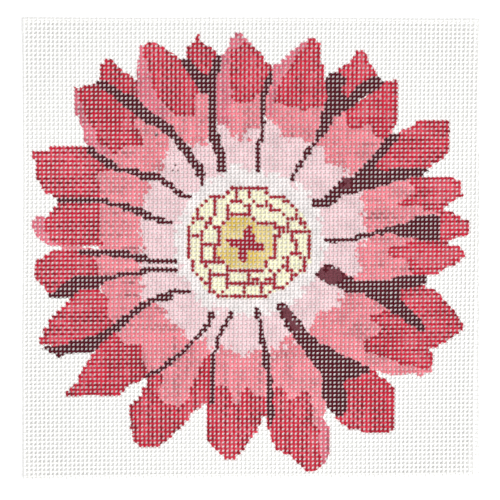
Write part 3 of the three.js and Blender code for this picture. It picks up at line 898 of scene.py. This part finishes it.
def build_clots(weave, material):
    """Films of plum paint that have dried across the holes, each a thin dished pane."""
    rng = np.random.default_rng(404)
    side = np.arange(weave.settings.holes)
    hole_x, hole_y = np.meshgrid((side + 0.5) * weave.pitch - weave.last,
                                 (side + 0.5) * weave.pitch - weave.last)
    hole_x = hole_x.ravel()
    hole_y = hole_y.ravel()
    dx, dy, dz = weave.lay(hole_x, hole_y)
    closed = np.zeros(hole_x.shape, bool)
    for outline in CLOGGED:
        closed |= inside(outline, hole_x + dx, hole_y + dy)
    closed &= rng.random(hole_x.size) < CLOGGED_SHARE
    across = np.linspace(-1, 1, PANE_POINTS)
    gx, gy = np.meshgrid(across, across)
    squash = 1 - 0.18 * (gx * gy) ** 2
    vertices = []
    faces = []
    for x, y, z in zip((hole_x + dx)[closed], (hole_y + dy)[closed], dz[closed]):
        dish = 0.16 * (gx ** 2 + gy ** 2) + rng.uniform(-0.03, 0.05)
        upper = np.stack([x + gx * squash * PANE_REACH, y + gy * squash * PANE_REACH,
                          z + weave.middle_z - 0.06 + dish], axis=-1).reshape(-1, 3)
        lower = upper - (0, 0, PANE_THICKNESS)
        base = len(vertices)
        vertices.extend(upper)
        vertices.extend(lower)
        for row in range(PANE_POINTS - 1):
            for column in range(PANE_POINTS - 1):
                a = base + row * PANE_POINTS + column
                faces.append((a, a + 1, a + PANE_POINTS + 1, a + PANE_POINTS))
                b = a + PANE_POINTS ** 2
                faces.append((b, b + PANE_POINTS, b + PANE_POINTS + 1, b + 1))
        grid = base + np.arange(PANE_POINTS ** 2).reshape(PANE_POINTS, PANE_POINTS)
        rim = [*grid[0], *grid[1:, -1], *grid[-1, -2::-1], *grid[-2:0:-1, 0]]
        for near, far in zip(rim, rim[1:] + rim[:1]):
            faces.append((near, near + PANE_POINTS ** 2, far + PANE_POINTS ** 2, far))
    mesh = bpy.data.meshes.new("paint_clots")
    mesh.from_pydata((np.array(vertices) * MM).tolist(), [], faces)
    mesh.polygons.foreach_set("use_smooth", np.ones(len(faces), bool))
    mesh.update()
    thread_piece("paint_clots", mesh, material, "weft")


# ---------------------------------------------------------------------------
# Finishes
# ---------------------------------------------------------------------------

THREAD_RELIEF = (0.6, 0.00007)  # strength of the bump, and its depth in metres
FILM_RELIEF = (0.5, 0.00006)


def socket(tree, name, in_out, kind, default=None, low=None, high=None):
    made = tree.interface.new_socket(name=name, in_out=in_out, socket_type=kind)
    if default is not None:
        made.default_value = default
    if low is not None:
        made.min_value = low
        made.max_value = high
    return made


class Wiring:
    """Adds nodes to a tree and wires them, so that each effect reads as a list of steps."""

    def __init__(self, tree):
        self.tree = tree

    def node(self, kind, **values):
        made = self.tree.nodes.new(kind)
        for key, value in values.items():
            setattr(made, key, value)
        return made

    def link(self, source, target):
        self.tree.links.new(source, target)

    def feed(self, target, value):
        if isinstance(value, bpy.types.NodeSocket):
            self.link(value, target)
        else:
            target.default_value = value

    def maths(self, operation, *values, clamp=False):
        made = self.node("ShaderNodeMath", operation=operation, use_clamp=clamp)
        for target, value in zip(made.inputs, values):
            self.feed(target, value)
        return made.outputs[0]

    def remap(self, value, low, high, to_low, to_high):
        made = self.node("ShaderNodeMapRange", clamp=True)
        for target, item in zip(made.inputs, (value, low, high, to_low, to_high)):
            self.feed(target, item)
        return made.outputs["Result"]

    def mix(self, factor, first, second, blend="MIX"):
        made = self.node("ShaderNodeMix", data_type="RGBA", blend_type=blend)
        self.feed(made.inputs["Factor"], factor)
        self.feed(made.inputs[6], first)  # the colour sockets A and B, and the colour result
        self.feed(made.inputs[7], second)
        return made.outputs[2]

    def noise(self, vector, scale, detail, roughness=0.5):
        made = self.node("ShaderNodeTexNoise", noise_dimensions="3D")
        self.link(vector, made.inputs["Vector"])
        made.inputs["Scale"].default_value = scale
        made.inputs["Detail"].default_value = detail
        made.inputs["Roughness"].default_value = roughness
        return made.outputs["Fac"]


def group_ends(tree):
    return tree.nodes.new("NodeGroupInput"), tree.nodes.new("NodeGroupOutput")


def make_spun_cotton_group():
    """Two plies twisted together, with short fibres along them, held by size."""
    tree = bpy.data.node_groups.new("Spun cotton thread", "ShaderNodeTree")
    socket(tree, "Run", "INPUT", "NodeSocketVector")
    socket(tree, "Place", "INPUT", "NodeSocketVector")
    socket(tree, "Twists per metre", "INPUT", "NodeSocketFloat", 450.0, 0.0, 4000.0)
    socket(tree, "Ply depth", "INPUT", "NodeSocketFloat", 0.5, 0.0, 1.0)
    socket(tree, "Fibre depth", "INPUT", "NodeSocketFloat", 0.35, 0.0, 1.0)
    socket(tree, "Height", "OUTPUT", "NodeSocketFloat")
    socket(tree, "Tone", "OUTPUT", "NodeSocketFloat")
    into, out = group_ends(tree)
    wire = Wiring(tree)
    parts = wire.node("ShaderNodeSeparateXYZ")
    wire.link(into.outputs["Run"], parts.inputs[0])
    turns = wire.maths("MULTIPLY", parts.outputs[0], into.outputs["Twists per metre"])
    spiral = wire.maths("MULTIPLY", wire.maths("ADD", turns, parts.outputs[1]), 2 * math.pi)
    ply = wire.maths("ABSOLUTE", wire.maths("SINE", spiral))
    strand = wire.node("ShaderNodeCombineXYZ")
    wire.link(wire.maths("MULTIPLY", parts.outputs[0], 900.0), strand.inputs[0])
    wire.link(wire.maths("MULTIPLY", wire.maths("SINE", spiral), 3.2), strand.inputs[1])
    wire.link(wire.maths("MULTIPLY", wire.maths("COSINE", spiral), 3.2), strand.inputs[2])
    fibre = wire.noise(strand.outputs[0], 1.6, 4.0, 0.6)
    ply_part = wire.maths("MULTIPLY", ply, into.outputs["Ply depth"])
    fibre_part = wire.maths("MULTIPLY", fibre, into.outputs["Fibre depth"])
    wire.link(wire.maths("ADD", ply_part, fibre_part), out.inputs["Height"])
    # Tone follows the same fibre noise that raises the relief, so the cotton is painted darker in the
    # hollows between fibres (painted shade); the slubs vary it at random
    slub = wire.noise(into.outputs["Place"], 420.0, 2.0)
    tone = wire.maths("ADD", wire.maths("MULTIPLY", fibre, 0.55), wire.maths("MULTIPLY", slub, 0.45))
    wire.link(wire.remap(tone, 0.3, 0.7, 0.0, 1.0), out.inputs["Tone"])
    return tree


def make_brushed_paint_group():
    """Acrylic brushed over cotton: thin on the ridges, pooled in the hollows, faintly streaked."""
    tree = bpy.data.node_groups.new("Brushed acrylic", "ShaderNodeTree")
    socket(tree, "Cotton", "INPUT", "NodeSocketColor", (0.8, 0.8, 0.8, 1.0))
    socket(tree, "Paint", "INPUT", "NodeSocketColor", (0.5, 0.1, 0.1, 1.0))
    socket(tree, "Cover", "INPUT", "NodeSocketFloat", 1.0, 0.0, 1.0)
    socket(tree, "Place", "INPUT", "NodeSocketVector")
    socket(tree, "Thread height", "INPUT", "NodeSocketFloat", 0.5, 0.0, 1.0)
    socket(tree, "Thread tone", "INPUT", "NodeSocketFloat", 0.5, 0.0, 1.0)
    socket(tree, "Wear", "INPUT", "NodeSocketFloat", 0.25, 0.0, 1.0)
    socket(tree, "Colour", "OUTPUT", "NodeSocketColor")
    socket(tree, "Roughness", "OUTPUT", "NodeSocketFloat")
    socket(tree, "Height", "OUTPUT", "NodeSocketFloat")
    into, out = group_ends(tree)
    wire = Wiring(tree)
    place = into.outputs["Place"]
    pool = wire.noise(place, 900.0, 3.0, 0.6)
    cloud = wire.noise(place, 160.0, 3.0, 0.55)
    thin = wire.maths("MULTIPLY", wire.remap(pool, 0.35, 0.7, 0.0, 1.0), into.outputs["Wear"])
    cover = wire.maths("MULTIPLY", into.outputs["Cover"], wire.maths("SUBTRACT", 1.0, thin), clamp=True)
    # The cotton is up to 7% darker where the thread tone is low: painted shade in the fibre hollows, and
    # random slubs
    cotton = wire.mix(1.0, into.outputs["Cotton"],
                      wire.mix(into.outputs["Thread tone"], (0.93, 0.925, 0.915, 1.0), (1.0, 1.0, 1.0, 1.0)),
                      "MULTIPLY")
    shade = wire.remap(cloud, 0.3, 0.7, 0.86, 1.12)
    tint = wire.node("ShaderNodeCombineColor")
    for target in tint.inputs[:3]:
        wire.link(shade, target)
    paint = wire.mix(1.0, into.outputs["Paint"], tint.outputs[0], "MULTIPLY")
    wire.link(wire.mix(cover, cotton, paint), out.inputs["Colour"])
    gloss = wire.remap(pool, 0.3, 0.7, -0.06, 0.06)
    dry = wire.maths("SUBTRACT", 0.88, wire.maths("MULTIPLY", cover, 0.26))
    wire.link(wire.maths("ADD", dry, gloss, clamp=True), out.inputs["Roughness"])
    film = wire.maths("MULTIPLY", cover, wire.maths("MULTIPLY", pool, 0.5))
    filled = wire.maths("MULTIPLY", into.outputs["Thread height"],
                        wire.maths("SUBTRACT", 1.0, wire.maths("MULTIPLY", cover, 0.35)))
    wire.link(wire.maths("ADD", filled, film), out.inputs["Height"])
    return tree


def brushed_material(name, brushed, beneath, wear, relief, gloss):
    """A material of paint brushed over a colour, with the parts of it that are left to wire."""
    material = bpy.data.materials.new(name)
    material.use_nodes = True
    tree = material.node_tree
    tree.nodes.clear()
    wire = Wiring(tree)
    out = wire.node("ShaderNodeOutputMaterial")
    shader = wire.node("ShaderNodeBsdfPrincipled")
    wire.link(shader.outputs[0], out.inputs["Surface"])
    place = wire.node("ShaderNodeTexCoord")
    film = wire.node("ShaderNodeGroup", node_tree=brushed)
    film.inputs["Cotton"].default_value = (*beneath, 1.0)
    film.inputs["Wear"].default_value = wear
    wire.link(place.outputs["Object"], film.inputs["Place"])
    wire.link(film.outputs["Colour"], shader.inputs["Base Color"])
    wire.link(film.outputs["Roughness"], shader.inputs["Roughness"])
    bump = wire.node("ShaderNodeBump")
    bump.inputs["Strength"].default_value, bump.inputs["Distance"].default_value = relief
    wire.link(film.outputs["Height"], bump.inputs["Height"])
    wire.link(bump.outputs["Normal"], shader.inputs["Normal"])
    shader.inputs["Specular IOR Level"].default_value = gloss
    return material, wire, place, film


def thread_material(name, twists, wear):
    """Painted cotton for one set of threads; the paint comes with the mesh."""
    spun, brushed = effect_groups()
    cotton = bpy.context.scene.canvas_paint.cotton
    material, wire, place, film = brushed_material(name, brushed, cotton, wear, THREAD_RELIEF, 0.07)
    run = wire.node("ShaderNodeUVMap", uv_map="Thread")
    paint = wire.node("ShaderNodeAttribute", attribute_name="paint", attribute_type="GEOMETRY")
    thread = wire.node("ShaderNodeGroup", node_tree=spun)
    wire.link(run.outputs["UV"], thread.inputs["Run"])
    wire.link(place.outputs["Object"], thread.inputs["Place"])
    thread.inputs["Twists per metre"].default_value = twists
    wire.link(paint.outputs["Color"], film.inputs["Paint"])
    wire.link(paint.outputs["Alpha"], film.inputs["Cover"])
    wire.link(thread.outputs["Height"], film.inputs["Thread height"])
    wire.link(thread.outputs["Tone"], film.inputs["Thread tone"])
    return material


def clot_material():
    """The plum acrylic where it has dried as a film across a hole."""
    _, brushed = effect_groups()
    colours = bpy.context.scene.canvas_paint
    name = "plum_acrylic_film"
    material, _, _, film = brushed_material(name, brushed, colours.red, 0.04, FILM_RELIEF, 0.25)
    # The film colour is lighter than the plum: a painted sheen of the glossy film, on top of its real
    # specular
    film.inputs["Paint"].default_value = (*colours.film, 1.0)
    film.inputs["Cover"].default_value = 1.0
    return material


def named_group(name, maker):
    return bpy.data.node_groups.get(name) or maker()


def effect_groups():
    """The shared effects: spun cotton, and paint brushed over it."""
    spun = named_group("Spun cotton thread", make_spun_cotton_group)
    brushed = named_group("Brushed acrylic", make_brushed_paint_group)
    return spun, brushed


# ---------------------------------------------------------------------------
# Operators
# ---------------------------------------------------------------------------

class CANVAS_OT_weave_warp(bpy.types.Operator):
    """Weaves the warp threads, in bands, and paints them"""

    bl_idname = "canvas.weave_warp"
    bl_label = "Weave warp"

    def execute(self, context):
        material = thread_material("painted_warp_cotton", twists=430.0, wear=0.015)
        build_warp(Weave(context.scene.canvas_weave), material)
        return {"FINISHED"}


class CANVAS_OT_weave_weft(bpy.types.Operator):
    """Weaves the weft threads, in bands, and paints them"""

    bl_idname = "canvas.weave_weft"
    bl_label = "Weave weft"

    def execute(self, context):
        material = thread_material("painted_weft_cotton", twists=380.0, wear=0.012)
        build_weft(Weave(context.scene.canvas_weave), material)
        return {"FINISHED"}


class CANVAS_OT_edge_warp(bpy.types.Operator):
    """Adds the warp that the off-grain cut has freed along the right edge"""

    bl_idname = "canvas.edge_warp"
    bl_label = "Add freed edge warp"

    def execute(self, context):
        material = thread_material("bare_edge_cotton", twists=520.0, wear=0.0)
        build_edge_warp(Weave(context.scene.canvas_weave), material)
        return {"FINISHED"}


class CANVAS_OT_paint_clots(bpy.types.Operator):
    """Adds the films of thick paint that close some holes of the mesh"""

    bl_idname = "canvas.paint_clots"
    bl_label = "Add paint clots"

    def execute(self, context):
        build_clots(Weave(context.scene.canvas_weave), clot_material())
        return {"FINISHED"}


LIGHT_SIZE = 1.8  # metres
LIGHT_PLACE = (1.3, -0.75, 1.7)
SENSOR = 36.0  # the camera sensor's width, in millimetres


class CANVAS_OT_stage(bpy.types.Operator):
    """Sets the pale table, the soft light and the camera that looks straight down"""

    bl_idname = "canvas.stage"
    bl_label = "Set stage"

    def execute(self, context):
        settings = context.scene.canvas_stage
        half = settings.floor_size / 2
        mesh = bpy.data.meshes.new("table_top")
        mesh.from_pydata([(-half, -half, 0), (half, -half, 0), (half, half, 0), (-half, half, 0)], [],
                         [(0, 1, 2, 3)])
        table = bpy.data.objects.new("table_top", mesh)
        context.scene.collection.objects.link(table)
        material = bpy.data.materials.new("pale_table")
        material.use_nodes = True
        shader = material.node_tree.nodes["Principled BSDF"]
        shader.inputs["Base Color"].default_value = (0.95, 0.95, 0.95, 1.0)
        shader.inputs["Emission Color"].default_value = (1.0, 1.0, 1.0, 1.0)
        shader.inputs["Emission Strength"].default_value = settings.table_glow
        shader.inputs["Roughness"].default_value = 0.9
        shader.inputs["Specular IOR Level"].default_value = 0.1
        mesh.materials.append(material)

        world = bpy.data.worlds.new("studio_fill")
        world.use_nodes = True
        background = world.node_tree.nodes["Background"]
        background.inputs["Color"].default_value = (1.0, 1.0, 1.0, 1.0)
        background.inputs["Strength"].default_value = settings.sky_strength
        context.scene.world = world

        light = bpy.data.lights.new("soft_key", "AREA")
        light.shape = "SQUARE"
        light.size = LIGHT_SIZE
        light.energy = settings.key_power
        key = bpy.data.objects.new("soft_key", light)
        key.location = LIGHT_PLACE
        aim = -key.location
        key.rotation_mode = "QUATERNION"
        key.rotation_quaternion = aim.to_track_quat("-Z", "Y")
        context.scene.collection.objects.link(key)

        lens = bpy.data.cameras.new("camera")
        lens.sensor_width = SENSOR
        lens.lens = SENSOR * settings.camera_height / settings.view_width
        camera = bpy.data.objects.new("camera", lens)
        camera.location = (*settings.view_middle, settings.camera_height)
        context.scene.collection.objects.link(camera)
        context.scene.camera = camera
        context.scene.view_settings.view_transform = "Standard"
        return {"FINISHED"}


class CANVAS_PT_panel(bpy.types.Panel):
    """Lists the canvas's settings and the steps that make it"""

    bl_idname = "CANVAS_PT_panel"
    bl_label = "Painted canvas"
    bl_space_type = "VIEW_3D"
    bl_region_type = "UI"
    bl_category = "Canvas"

    def draw(self, context):
        for heading, settings in (("Weave", context.scene.canvas_weave),
                                  ("Paint", context.scene.canvas_paint),
                                  ("Stage", context.scene.canvas_stage)):
            box = self.layout.box()
            box.label(text=heading)
            for key in settings.__annotations__:
                box.prop(settings, key)
        for operator in OPERATORS:
            self.layout.operator(operator.bl_idname)


SETTINGS = (
    ("canvas_weave", CanvasWeaveSettings),
    ("canvas_paint", CanvasPaintSettings),
    ("canvas_stage", CanvasStageSettings),
)
OPERATORS = (
    CANVAS_OT_stage,
    CANVAS_OT_weave_warp,
    CANVAS_OT_weave_weft,
    CANVAS_OT_edge_warp,
    CANVAS_OT_paint_clots,
)


def register():
    for name, settings in SETTINGS:
        bpy.utils.register_class(settings)
        setattr(bpy.types.Scene, name, bpy.props.PointerProperty(type=settings))
    for operator in OPERATORS:
        bpy.utils.register_class(operator)
    bpy.utils.register_class(CANVAS_PT_panel)


def unregister():
    bpy.utils.unregister_class(CANVAS_PT_panel)
    for operator in reversed(OPERATORS):
        bpy.utils.unregister_class(operator)
    for name, settings in reversed(SETTINGS):
        delattr(bpy.types.Scene, name)
        bpy.utils.unregister_class(settings)


def main():
    """Makes the stage and every piece."""
    register()
    bpy.ops.canvas.stage()
    bpy.ops.canvas.weave_warp()
    bpy.ops.canvas.weave_weft()
    bpy.ops.canvas.edge_warp()
    bpy.ops.canvas.paint_clots()


if __name__ == "__main__":
    main()
